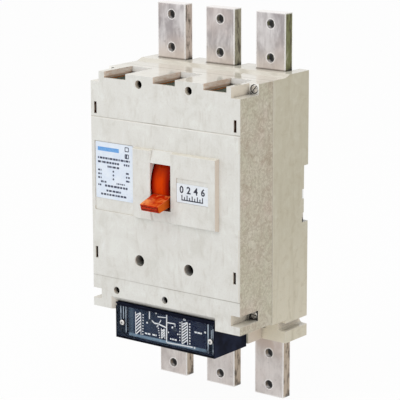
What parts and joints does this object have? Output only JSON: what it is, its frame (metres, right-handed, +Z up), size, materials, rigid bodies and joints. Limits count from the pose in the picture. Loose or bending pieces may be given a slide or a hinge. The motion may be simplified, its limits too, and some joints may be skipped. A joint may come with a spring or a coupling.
{
  "type": "moulded-case circuit breaker",
  "caption": "Moulded-case industrial circuit breaker with flat terminal bars above and below, a red toggle handle and a black trip unit at the bottom of the front.",
  "frame": {"origin": "centre of the flat back face of the case", "axes": "+Z up along the terminal bars, +Y back into the mounting panel, +X to the right of someone facing the front"},
  "size_m": [0.21, 0.1568, 0.4445],
  "materials": {
    "cover_ivory": "moulded ivory plastic, faintly mottled",
    "base_beige": "moulded beige plastic, smooth",
    "handle_red": "orange red moulded plastic",
    "shaft_steel": "turned steel",
    "trip_black": "near black moulded plastic",
    "trip_panel": "dark printed panel",
    "trip_window": "clear smoked plastic",
    "adjuster_white": "pale plastic",
    "screw_steel": "bright plated steel",
    "terminal_tinned": "tinned copper, satin",
    "chute_fibre": "brown fibre with steel plates",
    "name_plate_face": "printed metal plate, satin",
    "rating_plate_face": "pale printed plate"
  },
  "bodies": {
    "case": {"base_case": "base_beige", "front_cover": "cover_ivory", "name_plate": "name_plate_face", "rating_plate": "rating_plate_face", "handle_shaft": "shaft_steel", "trip_unit_housing": "trip_black", "trip_unit_panel": "trip_panel", "trip_unit_window": "trip_window", "window_screw_left": "screw_steel", "window_screw_right": "screw_steel", "current_adjuster": "adjuster_white", "time_adjuster": "adjuster_white", "upper_terminal_left": "terminal_tinned", "lower_terminal_left": "terminal_tinned", "arc_chute_left": "chute_fibre", "upper_terminal_middle": "terminal_tinned", "lower_terminal_middle": "terminal_tinned", "arc_chute_middle": "chute_fibre", "upper_terminal_right": "terminal_tinned", "lower_terminal_right": "terminal_tinned", "arc_chute_right": "chute_fibre", "cover_screw_upper_left": "screw_steel", "cover_screw_upper_right": "screw_steel", "cover_screw_lower_left": "screw_steel", "cover_screw_lower_right": "screw_steel"},
    "toggle": {"handle": "handle_red"}
  },
  "joints": [
    {"name": "handle_pivot", "type": "hinge", "parent": "case", "child": "toggle", "pos_m": [0, -0.0898, 0.03], "axis": [-1, 0, 0], "range_deg": [0, 35]}
  ]
}
